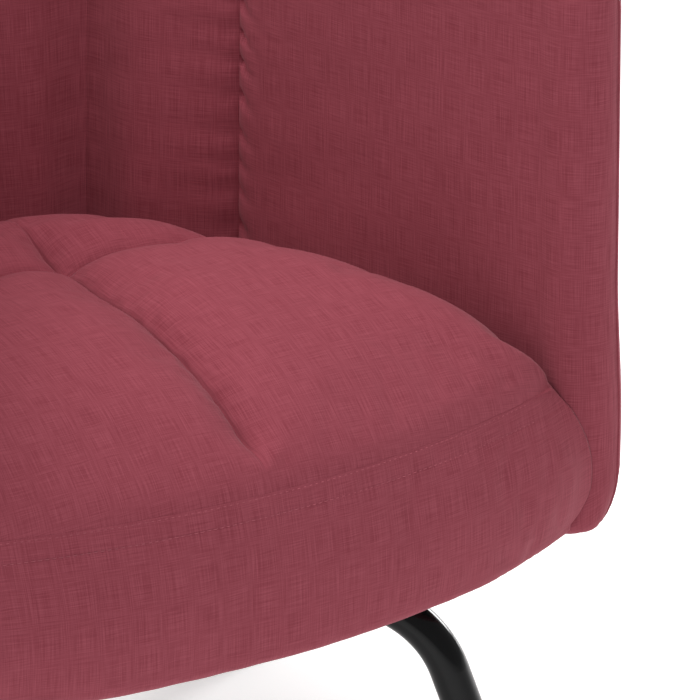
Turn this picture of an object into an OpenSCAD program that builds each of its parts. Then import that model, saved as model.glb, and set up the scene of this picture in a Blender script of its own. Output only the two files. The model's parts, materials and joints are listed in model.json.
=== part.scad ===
// Glider nursery chair: an upholstered tub seat that glides on four swinging links,
// over a turntable on a four-legged tubular base. Millimetres, +Z up, facing -Y.
// The origin is on the floor, under the middle of the overall length.

/* [Frame] */
// Distance of the swivel axis in front of the origin
hub_set_forward = 93.6; // [60:0.1:140]

/* [Base] */
// Outside diameter of the leg tube
tube_d = 30; // [24:1:36]
// Wall thickness of the leg tube
tube_wall = 2; // [1.2:0.1:3]
// Height of the leg tube's centre line above the floor
tube_z = 250; // [240:1:252]
// Distance from the hub's axis to the start of the leg's bend
bend_start_r = 182; // [150:1:220]
// Bend radius of the leg's centre line
bend_r = 80.4; // [60:0.1:110]
// Angle through which the leg bends towards the floor
bend_angle = 70; // [60:1:80]
// Height of the plastic foot glides
foot_h = 10; // [6:1:14]
// Radius of the hub drum
hub_r = 58; // [50:1:64]

/* [Glide mechanism] */
// Height of the upper pivots
upper_pivot_z = 356; // [352:1:358]
// Distance between a link's two pivots
link_length = 68; // [60:1:70]
// Distance of the pivots in front of and behind the hub's axis
pivot_y = 80; // [70:1:84]
// Radius of the pivot shafts and pins
pin_r = 8; // [6:0.5:9]
// Radial clearance of a shaft in its bush
running_gap = 0.05; // [0.02:0.01:0.1]

/* [Seat] */
// Height of the seat frame's lower edge
frame_z = 292; // [290:1:296]
// Height of the seat frame's boards
board_h = 84; // [70:1:86]
// Thickness of the seat frame's boards
board_t = 22; // [16:1:24]
// Height of the seat cushion's underside
cushion_z = 391; // [390:1:396]
// Height of the seat cushion's crown
seat_top_z = 472; // [450:1:490]
// Height of the front border's lower edge
border_z = 285; // [283:1:290]
// Front of the seat at the middle, ahead of the hub's axis
seat_front = 248; // [240:1:255]

/* [Wall] */
// Width between the arms at the front
arm_gap = 532; // [500:1:540]
// Thickness of the arms at the front
arm_t = 66; // [60:1:80]
// Height of the arms at the front
arm_z = 760; // [720:1:780]
// Height of the back's top edge
back_z = 975; // [940:1:1000]
// Height of the wall's lower edge
wall_z = 290; // [286:1:294]
// Radius of the rounded corner at the top front of each arm
arm_corner_r = 70; // [50:1:90]

/* [Hidden] */
$fn = 64;

// Colours
steel = "silver";
black_paint = "#15151a";
nylon = "ivory";
rubber = "#303030";
wood = "burlywood";
felt = "#6f675c";
linen = "#a0505c";

// Base: the hub drum, the thrust bearing on it and the turntable above
hub_bottom = 228;
hub_top = 268;
race_t = 5;
race_in = 36;
race_out = 58;
ball_r = 4;
ball_ring_r = 47;
ball_count = 20;
ball_z = hub_top + 7;
groove_r = ball_r + 0.15;
plate_z = ball_z + 7;
plate_t = 6;
plate_x = 82;
plate_y = 98;
spindle_r = 15;
spindle_bush_r = 19;
nut_h = 10;
washer_t = 3.7;
washer_gap = 0.3;

// Glide mechanism, from the middle outwards along X
sheet_t = 6;
bracket_x = 76;
link_x = 98;
carriage_x = 116;
bush_r = 11;
shoulder_r = 14;
side_gap = 0.3;
lug_r = 16;
lower_pivot_z = upper_pivot_z - link_length;
bracket_z = plate_z + plate_t;
bracket_end = pivot_y + lug_r;
glide_travel = 39;
cross_y = bracket_end + glide_travel + 15;
brace_r = 10;
brace_z = 325;
open_pivot_gap = 0.3;

// Seat frame: the boards' places, from the wall's plan
front_board_y = -178;
rear_board_y = 170;
rear_board_x = 150;

// Wall: the plan of its inner face at lean_z, as four corners on one side,
// and of its outer face, as a smooth curve
lean_z = 430;
nose_y = -169;
inner_plan = [[arm_gap / 2, nose_y], [165, 118], [79, 208], [0, 232]];
outer_plan = [
    [arm_gap / 2 + arm_t, nose_y], [303, 0], [262, 160], [206, 248],
    [132, 304], [62, 325], [0, 331]
];
// How far the wall leans out and back for each millimetre of height, at the inner corners
lean_plan = [[0.018, 0.052], [0.068, 0.087], [0.118, 0.158], [0, 0.2]];
lean_soft = 80;
rim_r = 33;
hem_r = 24;
// Depths through the wall, from 0 at its inner face to 1 at its outer face
pad_depth = [0, 0.37];
frame_depth = [0.43, 0.58];
cover_depth = [0.65, 1];
// The cushion's front is a bow: how far it falls back for each square millimetre across
cushion_bow = 8.7e-4;

function mix(a, b, t) = a + (b - a) * t;
function clamp(x, low, high) = max(low, min(high, x));
function ease(t) = t * t * (3 - 2 * t);

// A point on a smooth curve through a list, at place u counted in points
function smooth_at(list, u, before, after) =
    let (
        last = len(list) - 1,
        i = min(floor(u), last - 1),
        t = u - i,
        p0 = i > 0 ? list[i - 1] : before,
        p1 = list[i],
        p2 = list[i + 1],
        p3 = i < last - 1 ? list[i + 2] : after
    )
    0.5 * (2 * p1 + (p2 - p0) * t + (2 * p0 - 5 * p1 + 4 * p2 - p3) * t * t
        + (3 * p1 - p0 - 3 * p2 + p3) * t * t * t);

// A point on straight stretches through a list
function straight_at(list, u) =
    let (i = min(floor(u), len(list) - 2)) mix(list[i], list[i + 1], u - i);

// The wall is laid out along s: 0 at the arm's nose, 1 and 2 at the inner corners,
// 3 at the middle of the back; -1 is the very tip of the nose
function inner_at(s) = straight_at(inner_plan, max(s, 0));
function outer_at(s) =
    smooth_at(outer_plan, 2 * max(s, 0), 2 * outer_plan[0] - outer_plan[1], [-62, 325]);
function tip_distance(s) = s < 0 ? arm_t / 2 * (1 + s) : arm_t / 2 + 300 * s;
function wall_top(s) =
    let (
        v = clamp((arm_corner_r - tip_distance(s)) / arm_corner_r, 0, 1),
        rise = ease(clamp(s / 2.6, 0, 1))
    )
    mix(arm_z, back_z, rise) - arm_corner_r * (1 - sqrt(1 - v * v));
function lean_height(z) =
    (z - lean_z + sqrt(pow(z - lean_z, 2) + pow(lean_soft, 2)) - lean_soft) / 2 * 1.1;
function rim_share(s, z) =
    let (
        up = clamp((z - wall_top(s) + rim_r) / rim_r, 0, 0.985),
        down = clamp((wall_z + hem_r - z) / hem_r, 0, 1)
    )
    sqrt(1 - up * up) * (1 - 0.35 * (1 - sqrt(1 - down * down)));
function half_wall_point(s, z, depth) =
    let (
        inside = inner_at(s),
        outside = outer_at(s),
        nose = s < 0 ? sqrt(1 - s * s) : 1,
        across = (outside - inside) / 2 * nose * rim_share(s, z),
        forward = s < 0 ? arm_t / 2 * -s : 0,
        plan = (inside + outside) / 2 + across * (2 * depth - 1) - [0, forward]
            + straight_at(lean_plan, max(s, 0)) * lean_height(z)
    )
    [plan.x, plan.y, z];
function wall_point(s, z, depth) =
    s <= 3 ? half_wall_point(s, z, depth)
    : let (p = half_wall_point(6 - s, z, depth)) [-p.x, p.y, p.z];
function mirrored_top(s) = wall_top(s <= 3 ? s : 6 - s);

nose_steps = [-0.97, -0.77, -0.42];
function steps(from, to, n) = [for (i = [0:n]) mix(from, to, i / n)];

module at_hub() translate([0, -hub_set_forward, 0]) children();
module both_sides() {
    children();
    mirror([1, 0, 0]) children();
}
module along_x(x0, x1, y, z, r) translate([x0, y, z]) rotate([0, 90, 0]) cylinder(h = x1 - x0, r = r);
module box(low, high) translate(low) cube(high - low);

// A closed layer of the wall over the places in s_list, between two heights and two depths.
// A top given as a drop is measured down from the wall's own top.
module wall_layer(s_list, depth, low, top = undef, drop = 0, rows = 8) {
    cols = len(s_list);
    ring = [for (j = [0:rows]) for (i = [0:cols - 1])
        let (
            s = s_list[i],
            high = is_undef(top) ? mirrored_top(s) - drop : top,
            z = mix(low, high, sin(90 * j / rows))
        )
        [s, z]];
    count = cols * (rows + 1);
    points = concat(
        [for (p = ring) wall_point(p[0], p[1], depth[0])],
        [for (p = ring) wall_point(p[0], p[1], depth[1])]);
    inside = [for (j = [0:rows - 1]) for (i = [0:cols - 2])
        let (a = j * cols + i) [a, a + 1, a + cols + 1, a + cols]];
    outside = [for (f = inside) [f[3] + count, f[2] + count, f[1] + count, f[0] + count]];
    ends = [for (j = [0:rows - 1]) for (e = [0, cols - 1])
        let (
            a = j * cols + e,
            face = [a, a + cols, a + cols + count, a + count]
        )
        e == 0 ? face : [face[3], face[2], face[1], face[0]]];
    edges = [for (i = [0:cols - 2]) for (j = [0, rows])
        let (
            a = j * cols + i,
            face = [a, a + count, a + 1 + count, a + 1]
        )
        j == 0 ? face : [face[3], face[2], face[1], face[0]]];
    faces = [for (f = concat(inside, outside, ends, edges)) for (h = [0, 1])
        h == 0 ? [f[0], f[1], f[2]] : [f[0], f[2], f[3]]];
    polyhedron(points, faces);
}

// A closed solid through level outlines of equally many points, counter-clockwise from above
module loft(levels) {
    n = len(levels[0]);
    last = len(levels) - 1;
    points = [for (level = levels) for (p = level) p];
    sides = [for (k = [0:last - 1]) for (i = [0:n - 1]) for (h = [0, 1])
        let (a = k * n + i, b = k * n + (i + 1) % n)
        h == 0 ? [a, b + n, b] : [a, a + n, b + n]];
    bottom = [[for (i = [0:n - 1]) i]];
    lid = [[for (i = [0:n - 1]) last * n + n - 1 - i]];
    polyhedron(points, concat(sides, bottom, lid));
}

module hub() at_hub() color(black_paint) difference() {
    translate([0, 0, hub_bottom]) cylinder(h = hub_top - hub_bottom, r = hub_r);
    translate([0, 0, hub_bottom - 1]) cylinder(h = hub_top - hub_bottom + 2, r = spindle_bush_r);
}

// The leg's outline of radius r, from the hub's axis out along +X and down to the floor
module leg_core(r) {
    rotate([0, 90, 0]) translate([-tube_z, 0, 0]) cylinder(h = bend_start_r, r = r);
    translate([bend_start_r, 0, tube_z - bend_r]) rotate([90, 0, 0])
        rotate([0, 0, 90 - bend_angle])
        rotate_extrude(angle = bend_angle) translate([bend_r, 0]) circle(r = r);
    translate([
        bend_start_r + bend_r * sin(bend_angle), 0,
        tube_z - bend_r * (1 - cos(bend_angle))
    ]) rotate([0, 90 + bend_angle, 0]) cylinder(h = 240, r = r);
}
module leg(heading) at_hub() color(black_paint) rotate([0, 0, heading]) difference() {
    leg_core(tube_d / 2);
    leg_core(tube_d / 2 - tube_wall);
    cylinder(h = 400, r = hub_r);
    translate([0, 0, -50 + foot_h]) cube([900, 100, 100], center = true);
}
module leg_front_left() leg(225);
module leg_front_right() leg(315);
module leg_rear_left() leg(135);
module leg_rear_right() leg(45);

function leg_reach(z) = bend_start_r + bend_r * sin(bend_angle)
    + (tube_z - bend_r * (1 - cos(bend_angle)) - z) / tan(bend_angle);
module foot_glides() at_hub() color(rubber) for (heading = [45:90:315]) rotate([0, 0, heading]) {
    translate([leg_reach(foot_h), 0, 0]) cylinder(h = foot_h, r = tube_d / 2 + 3);
    intersection() {
        leg_core(tube_d / 2 - tube_wall);
        translate([leg_reach(foot_h), 0, foot_h + 10]) cube([80, 80, 20], center = true);
    }
}

module ring(z0, z1, r_in, r_out) translate([0, 0, z0]) difference() {
    cylinder(h = z1 - z0, r = r_out);
    translate([0, 0, -1]) cylinder(h = z1 - z0 + 2, r = r_in);
}
module spindle_bush() at_hub() color(nylon)
    ring(hub_bottom, hub_top, spindle_r + running_gap, spindle_bush_r);
module ball_groove() translate([0, 0, ball_z]) rotate_extrude() translate([ball_ring_r, 0])
    circle(r = groove_r);
module lower_race() at_hub() color(steel) difference() {
    ring(hub_top, hub_top + race_t, race_in, race_out);
    ball_groove();
}
module upper_race() at_hub() color(steel) difference() {
    ring(plate_z - race_t, plate_z, race_in, race_out);
    ball_groove();
}
module bearing_balls() at_hub() color(steel) for (i = [0:ball_count - 1])
    rotate([0, 0, i * 360 / ball_count]) translate([ball_ring_r, 0, ball_z]) sphere(r = ball_r);

module turntable_plate() at_hub() color(black_paint) difference() {
    box([-plate_x, -plate_y, plate_z], [plate_x, plate_y, plate_z + plate_t]);
    translate([0, 0, plate_z - 1]) cylinder(h = plate_t + 2, r = spindle_r);
    bracket_bolt_places() translate([0, 0, plate_z - 1]) cylinder(h = plate_t + 2, r = bolt_r);
}
spindle_bottom = hub_bottom - washer_gap - washer_t - nut_h - 4;
module spindle() at_hub() color(steel)
    translate([0, 0, spindle_bottom]) cylinder(h = plate_z + plate_t - spindle_bottom, r = spindle_r);
module spindle_washer() at_hub() color(steel)
    ring(hub_bottom - washer_gap - washer_t, hub_bottom - washer_gap, spindle_r, 26);
module spindle_nut() at_hub() color(steel)
    translate([0, 0, hub_bottom - washer_gap - washer_t - nut_h]) difference() {
        cylinder(h = nut_h, r = 24, $fn = 6);
        translate([0, 0, -1]) cylinder(h = nut_h + 2, r = spindle_r);
    }

bolt_r = 4;
bolt_y = 60;
flange_in = 50;
bolt_x = 62;
module bracket_bolt_places() for (x = [-bolt_x, bolt_x]) for (y = [-bolt_y, bolt_y])
    translate([x, y, 0]) children();
module bracket_plate() difference() {
    union() {
        box([bracket_x, -bracket_end, bracket_z], [bracket_x + sheet_t, bracket_end, upper_pivot_z]);
        box([bracket_x, -pivot_y, upper_pivot_z], [bracket_x + sheet_t, pivot_y, upper_pivot_z + lug_r]);
        for (y = [-pivot_y, pivot_y]) along_x(bracket_x, bracket_x + sheet_t, y, upper_pivot_z, lug_r);
        box([flange_in, -bracket_end, bracket_z], [bracket_x, bracket_end, bracket_z + sheet_t]);
    }
    for (y = [-pivot_y, pivot_y]) along_x(bracket_x - 1, bracket_x + sheet_t + 1, y, upper_pivot_z, bush_r);
    for (y = [-1, 1]) along_x(bracket_x - 1, bracket_x + sheet_t + 1, y * pivot_y / 2, brace_z, lug_r);
    bracket_bolt_places() translate([0, 0, bracket_z - 1]) cylinder(h = sheet_t + 2, r = bolt_r);
}
module bracket_right() at_hub() color(black_paint) bracket_plate();
module bracket_left() at_hub() color(black_paint) mirror([1, 0, 0]) bracket_plate();
module bracket_bushes() at_hub() color(nylon) both_sides() for (y = [-pivot_y, pivot_y]) difference() {
    union() {
        along_x(bracket_x, bracket_x + sheet_t, y, upper_pivot_z, bush_r);
        along_x(bracket_x + sheet_t, link_x - side_gap, y, upper_pivot_z, shoulder_r);
    }
    along_x(bracket_x - 1, link_x + 1, y, upper_pivot_z, pin_r + running_gap);
}
module bracket_bolts() at_hub() color(steel) bracket_bolt_places() {
    translate([0, 0, plate_z - 5]) cylinder(h = 5, r = 7.5, $fn = 6);
    translate([0, 0, plate_z]) cylinder(h = plate_t + sheet_t, r = bolt_r);
    translate([0, 0, bracket_z + sheet_t]) cylinder(h = 7, r = 7.5, $fn = 6);
}
module bracket_brace() at_hub() color(black_paint) difference() {
    along_x(-bracket_x, bracket_x, 0, brace_z, brace_r);
    along_x(-bracket_x - 1, bracket_x + 1, 0, brace_z, brace_r - 2);
}

module link(y) difference() {
    union() {
        for (z = [lower_pivot_z, upper_pivot_z]) along_x(link_x, link_x + sheet_t, y, z, lug_r);
        box([link_x, y - lug_r, lower_pivot_z], [link_x + sheet_t, y + lug_r, upper_pivot_z]);
    }
    along_x(link_x - 1, link_x + sheet_t + 1, y, upper_pivot_z, pin_r);
    along_x(link_x - 1, link_x + sheet_t + 1, y, lower_pivot_z, bush_r);
}
clip_t = 2;
shaft_end = link_x + sheet_t + clip_t + 1.5;
module pivot_shaft(y) along_x(-shaft_end, shaft_end, y, upper_pivot_z, pin_r);
module link_bushes(y, gap) both_sides() difference() {
    union() {
        along_x(link_x, link_x + sheet_t, y, lower_pivot_z, bush_r);
        along_x(link_x + sheet_t, carriage_x - side_gap, y, lower_pivot_z, shoulder_r);
    }
    along_x(link_x - 1, carriage_x + 1, y, lower_pivot_z, pin_r + gap);
}
module shaft_clips(y) both_sides() difference() {
    along_x(link_x + sheet_t, link_x + sheet_t + clip_t, y, upper_pivot_z, pin_r + 4);
    along_x(link_x, link_x + 20, y, upper_pivot_z, pin_r);
}
module link_front_right() at_hub() color(black_paint) link(-pivot_y);
module link_front_left() at_hub() color(black_paint) mirror([1, 0, 0]) link(-pivot_y);
module link_rear_right() at_hub() color(black_paint) link(pivot_y);
module link_rear_left() at_hub() color(black_paint) mirror([1, 0, 0]) link(pivot_y);
module front_pivot_shaft() at_hub() color(steel) pivot_shaft(-pivot_y);
module rear_pivot_shaft() at_hub() color(steel) pivot_shaft(pivot_y);
module front_link_bushes() at_hub() color(nylon) link_bushes(-pivot_y, running_gap);
module rear_link_bushes() at_hub() color(nylon) link_bushes(pivot_y, open_pivot_gap);
module front_shaft_clips() at_hub() color(steel) shaft_clips(-pivot_y);
module rear_shaft_clips() at_hub() color(steel) shaft_clips(pivot_y);

tab_x = 92;
tab_top = 336;
screw_z = 322;
screw_x = 104;
module carriage_rail() difference() {
    union() {
        box([carriage_x, front_board_y, lower_pivot_z - lug_r],
            [carriage_x + sheet_t, rear_board_y, lower_pivot_z + lug_r]);
        box([tab_x, front_board_y, lower_pivot_z - lug_r],
            [carriage_x + sheet_t, front_board_y + sheet_t, tab_top]);
        box([tab_x, rear_board_y - sheet_t, lower_pivot_z - lug_r],
            [carriage_x + sheet_t, rear_board_y, tab_top]);
    }
    for (y = [-pivot_y, pivot_y]) along_x(carriage_x - 1, carriage_x + sheet_t + 1, y, lower_pivot_z, pin_r);
    for (y = [front_board_y - 1, rear_board_y - sheet_t - 1])
        translate([screw_x, y, screw_z]) rotate([-90, 0, 0]) cylinder(h = sheet_t + 2, r = 3);
}
module carriage_rail_right() at_hub() color(black_paint) carriage_rail();
module carriage_rail_left() at_hub() color(black_paint) mirror([1, 0, 0]) carriage_rail();
module carriage_cross(y) box([-carriage_x, y - 3, 276], [carriage_x, y + 3, 302]);
module carriage_cross_front() at_hub() color(black_paint) carriage_cross(-cross_y - 3);
module carriage_cross_rear() at_hub() color(black_paint) carriage_cross(cross_y + 3);
module bump_stops() at_hub() color(rubber) both_sides() {
    box([bracket_x - 3, cross_y - 12, 290], [bracket_x + 9, cross_y, 301]);
    box([bracket_x - 3, -cross_y, 290], [bracket_x + 9, -cross_y + 12, 301]);
}
module carriage_pins() at_hub() color(steel) both_sides() for (y = [-pivot_y, pivot_y]) {
    along_x(link_x - 6, link_x - 2.3, y, lower_pivot_z, 12);
    along_x(link_x - 2.3, carriage_x + sheet_t, y, lower_pivot_z, pin_r);
    along_x(carriage_x + sheet_t, carriage_x + sheet_t + 3, y, lower_pivot_z, 11);
}
screw_l = 18;
module screw_along_y(y, way) translate([screw_x, y, screw_z]) rotate([-90 * way, 0, 0]) {
    translate([0, 0, -sheet_t - 4]) cylinder(h = 4, r = 6.5);
    translate([0, 0, -sheet_t]) cylinder(h = sheet_t + screw_l, r = 3);
}
module carriage_screws() at_hub() color(steel) both_sides() {
    screw_along_y(rear_board_y, 1);
    screw_along_y(front_board_y, -1);
}

module screw_hole(y, way) both_sides() translate([screw_x, y, screw_z]) rotate([-90 * way, 0, 0])
    translate([0, 0, -1]) cylinder(h = screw_l + 1, r = 3);
module front_rail() at_hub() color(wood) difference() {
    box([-258, front_board_y - board_t, frame_z], [258, front_board_y, frame_z + board_h]);
    screw_hole(front_board_y, -1);
}
module rear_rail() at_hub() color(wood) difference() {
    box([-rear_board_x, rear_board_y, frame_z], [rear_board_x, rear_board_y + board_t, frame_z + board_h]);
    screw_hole(rear_board_y, 1);
}

// The side boards run just inside the arms' inner faces
side_gap_to_pad = 5;
side_run = inner_plan[1] - inner_plan[0];
side_angle = atan2(-side_run.x, side_run.y);
module side_rail() intersection() {
    translate([inner_plan[0].x - side_gap_to_pad, nose_y, frame_z]) rotate([0, 0, side_angle])
        translate([-board_t, -60, 0]) cube([board_t, 480, board_h]);
    box([carriage_x + sheet_t + 1, front_board_y, frame_z], [300, rear_board_y, frame_z + board_h]);
}
module side_rail_right() at_hub() color(wood) side_rail();
module side_rail_left() at_hub() color(wood) mirror([1, 0, 0]) side_rail();
module corner_blocks() at_hub() color(wood) both_sides()
    translate([0, 0, frame_z + 8]) linear_extrude(60) polygon([
        [180, front_board_y], [236, front_board_y], [218, front_board_y + 50]
    ]);

// Sinuous springs: a wire that runs from side to side on its way from front to back
wire_r = 2;
spring_z = frame_z + board_h + 4;
spring_x = [-112, -56, 0, 56, 112];
spring_w = 19;
spring_ends = [front_board_y - 10, rear_board_y + 10];
spring_runs = 13;
function spring_point(u) =
    let (
        side = sin(180 * u),
        wide = sign(side) * pow(abs(side), 0.45)
    )
    [wide * spring_w, mix(spring_ends[0], spring_ends[1], u / spring_runs), spring_z];
module spring(x) translate([x, 0, 0]) {
    per_run = 5;
    rings = spring_runs * per_run;
    sides = 6;
    points = [for (k = [0:rings])
        let (
            u = k / per_run,
            p = spring_point(u),
            ahead = spring_point(min(u + 0.02, spring_runs)) - spring_point(max(u - 0.02, 0)),
            level = [ahead.y, -ahead.x, 0] / norm(ahead)
        )
        for (i = [0:sides - 1])
            p + wire_r * (cos(i * 360 / sides) * level + [0, 0, sin(i * 360 / sides)])];
    skin = [for (k = [0:rings - 1]) for (i = [0:sides - 1]) for (h = [0, 1])
        let (a = k * sides + i, b = k * sides + (i + 1) % sides)
        h == 0 ? [a, b, b + sides] : [a, b + sides, a + sides]];
    polyhedron(points, concat(skin,
        [[for (i = [0:sides - 1]) sides - 1 - i]],
        [[for (i = [0:sides - 1]) rings * sides + i]]));
}
module seat_springs() at_hub() color(steel) for (x = spring_x) spring(x);
module spring_clips() at_hub() color(steel) for (x = spring_x) for (end = [0, 1])
    let (out = end == 0 ? spring_ends[0] - 11.5 : spring_ends[1] + 2.5)
    box([x - 12, out, frame_z + board_h], [x + 12, out + 9, frame_z + board_h + 6]);

// The plan of the cushion, counter-clockwise, set in from the wall's inner face
cushion_set_in = 5;
cushion_half = arm_gap / 2 - cushion_set_in - 1;
cushion_plan = concat(
    [for (i = [0:12]) let (x = mix(-cushion_half, cushion_half, i / 12))
        [x, cushion_bow * x * x - seat_front + 5]],
    [for (p = [inner_plan[1], inner_plan[2], inner_plan[3]]) p - [cushion_set_in, cushion_set_in]],
    [for (p = [inner_plan[2], inner_plan[1]]) [cushion_set_in - p.x, p.y - cushion_set_in]]);
function shrunk(plan, inset) = [for (p = plan) p * (1 - inset / 220)];
function level(plan, z) = [for (p = plan) [p.x, p.y, z]];
module seat_cushion() at_hub() color(linen) {
    crown = seat_top_z - cushion_z;
    loft([
        level(shrunk(cushion_plan, 8), cushion_z),
        level(shrunk(cushion_plan, 1), cushion_z + 0.1 * crown),
        level(shrunk(cushion_plan, 1), cushion_z + 0.55 * crown),
        level(shrunk(cushion_plan, 9), cushion_z + 0.8 * crown),
        level(shrunk(cushion_plan, 30), cushion_z + 0.95 * crown),
        level(shrunk(cushion_plan, 70), seat_top_z)
    ]);
}
border_half = 285;
border_back = front_board_y - board_t - 4;
border_end_t = 2.5;
function border_plan(inset) =
    let (bow = seat_front - inset + border_back - border_end_t)
    concat(
        [for (i = [0:14]) let (u = mix(-1, 1, i / 14))
            [u * (border_half - inset), border_back - border_end_t - bow * (1 - u * u)]],
        [[border_half - inset, border_back], [inset - border_half, border_back]]);
module seat_border() at_hub() color(linen) {
    rise = cushion_z - 2 - border_z;
    loft([
        level(border_plan(16), border_z),
        level(border_plan(4), border_z + 0.12 * rise),
        level(border_plan(0), border_z + 0.35 * rise),
        level(border_plan(0), border_z + 0.8 * rise),
        level(border_plan(3), border_z + rise)
    ]);
}
pad_t = 5;
module spring_pad() at_hub() color(felt)
    translate([0, 0, spring_z + wire_r + 0.5]) linear_extrude(pad_t) polygon(shrunk(cushion_plan, 45));
module dust_cover() at_hub() color(rubber) both_sides()
    translate([0, 0, frame_z - 2]) linear_extrude(2) polygon([
        [128, front_board_y - board_t], [257, front_board_y - board_t],
        [257, front_board_y], [149, rear_board_y], [128, rear_board_y]
    ]);

side_steps = concat([-0.35], steps(0, 1, 5), [1.38]);
module side_panel() wall_layer(side_steps, frame_depth, frame_z, drop = 24, rows = 6);
module side_panel_right() at_hub() color(wood) side_panel();
module side_panel_left() at_hub() color(wood) mirror([1, 0, 0]) side_panel();
post_s = [1.42, 1.6];
module back_post() wall_layer(post_s, frame_depth, frame_z, drop = 24, rows = 6);
module back_post_right() at_hub() color(wood) back_post();
module back_post_left() at_hub() color(wood) mirror([1, 0, 0]) back_post();
back_steps = concat([1.63], steps(2, 4, 8), [4.37]);
module top_rail() at_hub() color(wood) intersection() {
    wall_layer(back_steps, frame_depth, 600, drop = 24, rows = 6);
    box([-400, -400, 860], [400, 700, 1100]);
}
webbing_w = 60;
module back_webbing() at_hub() color(felt) for (z = [420, 560, 700])
    wall_layer(back_steps, [0.43, 0.48], z, top = z + webbing_w, rows = 1);

arm_steps = concat(nose_steps, steps(0, 0.99, 5));
module arm_pad() wall_layer(arm_steps, pad_depth, wall_z, rows = 10);
module arm_pad_right() at_hub() color(linen) arm_pad();
module arm_pad_left() at_hub() color(linen) mirror([1, 0, 0]) arm_pad();
module corner_pad() wall_layer(steps(1.02, 1.98, 3), pad_depth, cushion_z + 1, rows = 9);
module corner_pad_right() at_hub() color(linen) corner_pad();
module corner_pad_left() at_hub() color(linen) mirror([1, 0, 0]) corner_pad();
module back_pad() at_hub() color(linen)
    wall_layer(steps(2.04, 3.96, 6), pad_depth, cushion_z + 1, rows = 9);
cover_half = concat(nose_steps, steps(0, 2.75, 11));
cover_steps = concat(cover_half, [3], [for (i = [len(cover_half) - 1:-1:0]) 6 - cover_half[i]]);
module outer_cover() at_hub() color(linen) wall_layer(cover_steps, cover_depth, wall_z, rows = 10);

hub();
leg_front_left();
leg_front_right();
leg_rear_left();
leg_rear_right();
foot_glides();
spindle_bush();
lower_race();
bearing_balls();
turntable_plate();
spindle();
upper_race();
spindle_washer();
spindle_nut();
bracket_left();
bracket_right();
bracket_bushes();
bracket_bolts();
bracket_brace();
link_front_left();
link_front_right();
front_pivot_shaft();
front_link_bushes();
front_shaft_clips();
link_rear_left();
link_rear_right();
rear_pivot_shaft();
rear_link_bushes();
rear_shaft_clips();
carriage_rail_left();
carriage_rail_right();
carriage_cross_front();
carriage_cross_rear();
bump_stops();
carriage_pins();
carriage_screws();
front_rail();
rear_rail();
side_rail_left();
side_rail_right();
corner_blocks();
seat_springs();
spring_clips();
spring_pad();
dust_cover();
side_panel_left();
side_panel_right();
back_post_left();
back_post_right();
top_rail();
back_webbing();
seat_cushion();
seat_border();
arm_pad_left();
arm_pad_right();
corner_pad_left();
corner_pad_right();
back_pad();
outer_cover();
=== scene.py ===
"""Looks of the glider nursery chair: upholstery, base and studio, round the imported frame.

Lengths are metres. Plans are laid out from the swivel's axis, and HUB_Y moves them into
the frame. The chair faces -Y, and right is the viewer's right, towards +X."""
import json
import math

import bmesh
import bpy
import numpy as np
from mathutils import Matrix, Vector


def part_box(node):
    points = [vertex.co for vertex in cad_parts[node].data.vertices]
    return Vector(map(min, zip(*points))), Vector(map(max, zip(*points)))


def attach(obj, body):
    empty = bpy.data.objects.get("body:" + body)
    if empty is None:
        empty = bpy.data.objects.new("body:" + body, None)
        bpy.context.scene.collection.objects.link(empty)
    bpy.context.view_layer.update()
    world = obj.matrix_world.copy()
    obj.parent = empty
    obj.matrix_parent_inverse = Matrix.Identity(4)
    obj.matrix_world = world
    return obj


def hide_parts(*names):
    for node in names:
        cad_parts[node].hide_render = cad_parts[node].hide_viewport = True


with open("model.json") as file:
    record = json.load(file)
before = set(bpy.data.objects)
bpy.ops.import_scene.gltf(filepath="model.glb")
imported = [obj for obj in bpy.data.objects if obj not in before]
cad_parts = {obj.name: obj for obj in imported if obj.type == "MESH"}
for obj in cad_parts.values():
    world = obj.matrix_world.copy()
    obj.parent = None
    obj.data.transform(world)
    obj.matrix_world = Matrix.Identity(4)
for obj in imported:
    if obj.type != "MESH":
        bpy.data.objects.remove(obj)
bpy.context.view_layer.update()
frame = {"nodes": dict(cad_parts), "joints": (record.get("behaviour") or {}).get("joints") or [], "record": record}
JOINTS = {j["name"]: j for j in frame["joints"]}
HUB_Y = JOINTS["swivel"]["pos_m"][1]

# The wall, as the frame's pads and cover lay it out: s runs from 0 at the arm's nose, over
# the inner corners at 1 and 2, to 3 at the middle of the back, and on round to 6.
WALL_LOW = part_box("outer_cover")[0].z
BACK_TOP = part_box("outer_cover")[1].z
ARM_TOP = 0.760
ARM_T = 0.066
ARM_RUN = 0.300
# Radius of the arm's top corner at the nose, seen from the side, and the s at which it ends:
# there the grids round the nose meet the upright columns
CORNER_R = 0.070
FIRST_COLUMN = (CORNER_R - ARM_T / 2) / ARM_RUN
RIM_R = 0.033
# The hem's rounding, how much of the wall's thickness is left under it, and how far it rises
# from the arm's inner to its outer side, fading out over HEM_FADE
HEM_R = 0.036
HEM_TOP = WALL_LOW + HEM_R
HEM_SHARE = 0.3
HEM_TILT = 0.023
HEM_FADE = 0.075
# The wall's top edge has climbed to the back's full height at this s
TOP_END = 2.6
# The wall leans out from LEAN_Z up, with a bend of about LEAN_SOFT
LEAN_Z = 0.430
LEAN_SOFT = 0.080
LEAN_SCALE = 1.1
# The arm's nose is slimmer on the outside by ARM_SLIM, from SLIM_Z up
ARM_SLIM = 0.0032
SLIM_Z = 0.365
SLIM_RISE = 0.13
# Plan of the inner face at s = 0, 1, 2 and 3, and of the outer face at every half of s
INNER = np.array([[0.266, -0.169], [0.165, 0.118], [0.079, 0.208], [0.0, 0.232]])
OUTER = np.array([
    [0.332, -0.169], [0.303, 0.0], [0.262, 0.160], [0.206, 0.248],
    [0.132, 0.304], [0.062, 0.325], [0.0, 0.331],
])
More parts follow.
